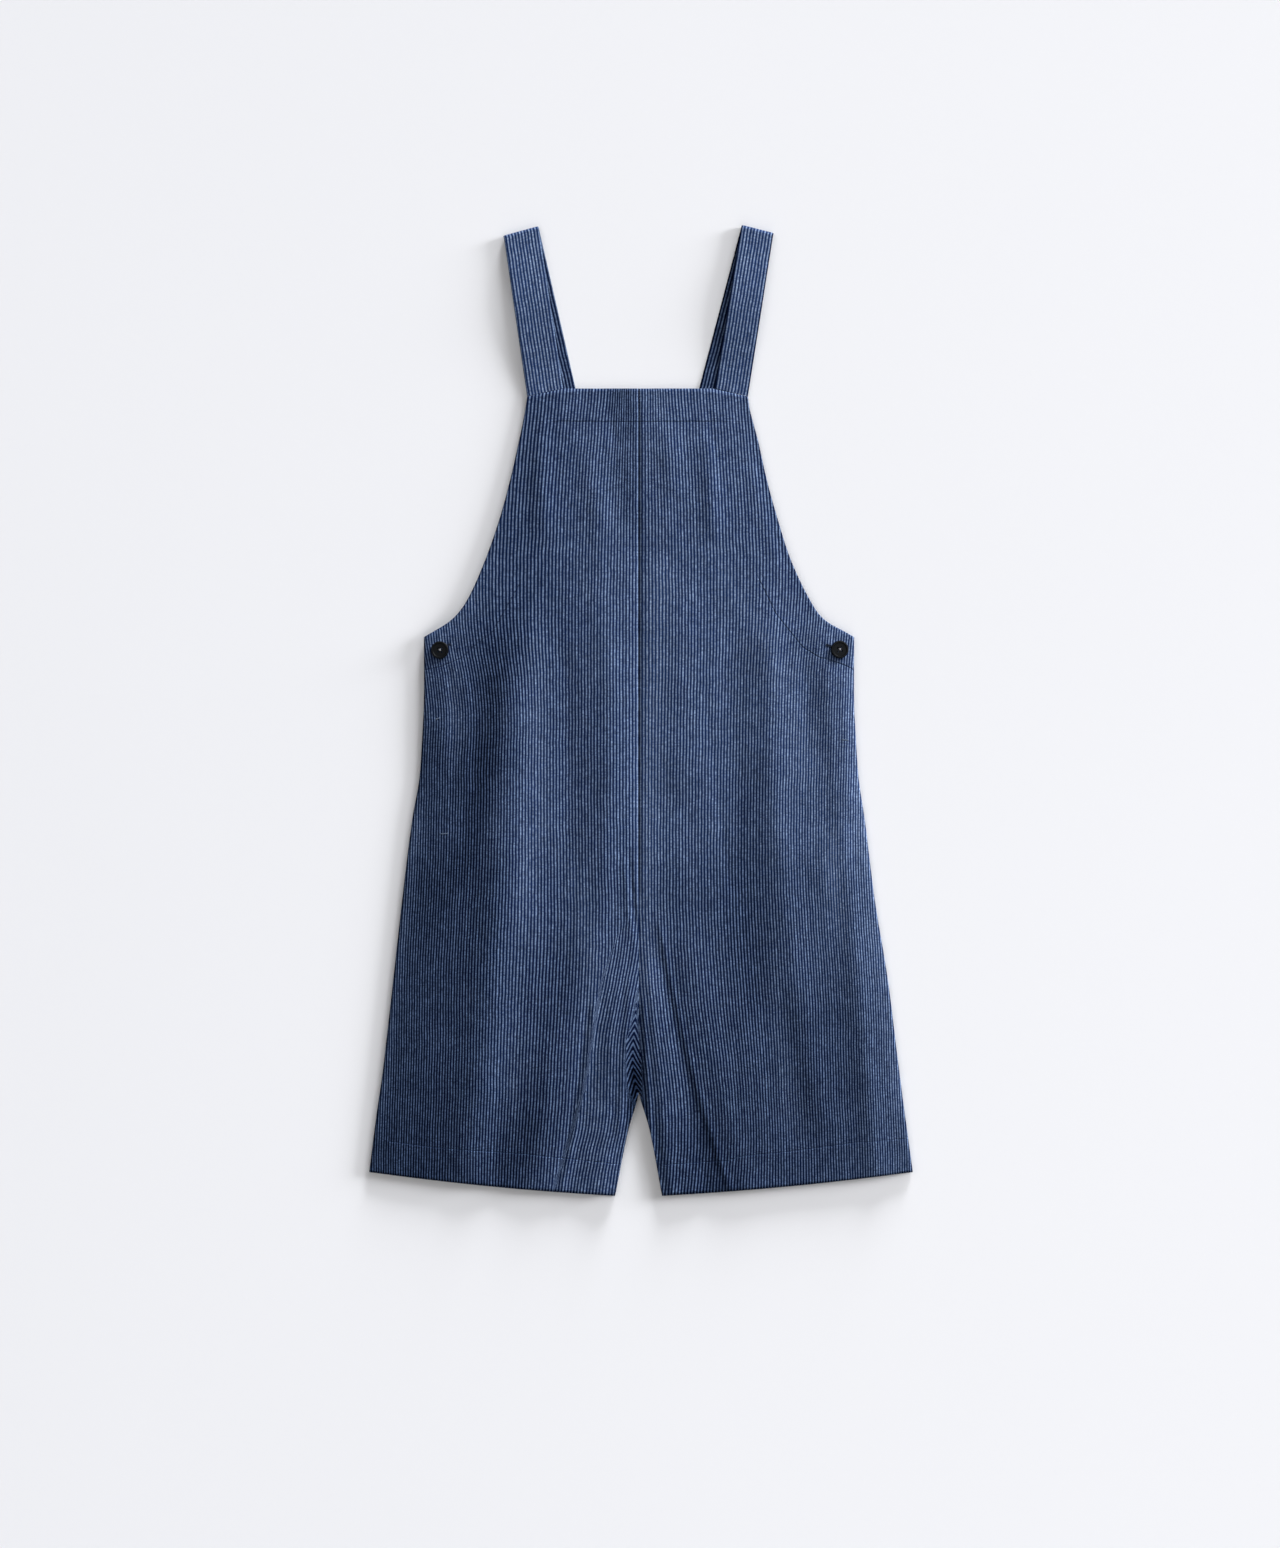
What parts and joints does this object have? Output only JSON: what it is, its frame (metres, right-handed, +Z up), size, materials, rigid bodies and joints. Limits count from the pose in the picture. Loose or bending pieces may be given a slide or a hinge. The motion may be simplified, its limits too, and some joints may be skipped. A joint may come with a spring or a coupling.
{
  "type": "short dungaree jumpsuit",
  "caption": "Short bib-front jumpsuit of striped linen laid flat: wide shoulder straps folded over the back, centre seam, button at each side opening, straight wide legs.",
  "frame": {"origin": "middle of the garment's outline as seen from above, on the plane it lies on", "axes": "+Z up from the surface it lies on, +Y toward the shoulder straps, +X to the right as seen from above"},
  "size_m": [0.517, 0.9228, 0.0147],
  "materials": {
    "linen": "matte striped linen, dark navy with pale blue lines",
    "button": "satin near-black"
  },
  "bodies": {
    "root": {"front_left": "linen", "front_right": "linen", "back_left": "linen", "back_right": "linen", "strap_left": "linen", "strap_right": "linen", "button_left": "button", "button_right": "button"}
  },
  "joints": []
}
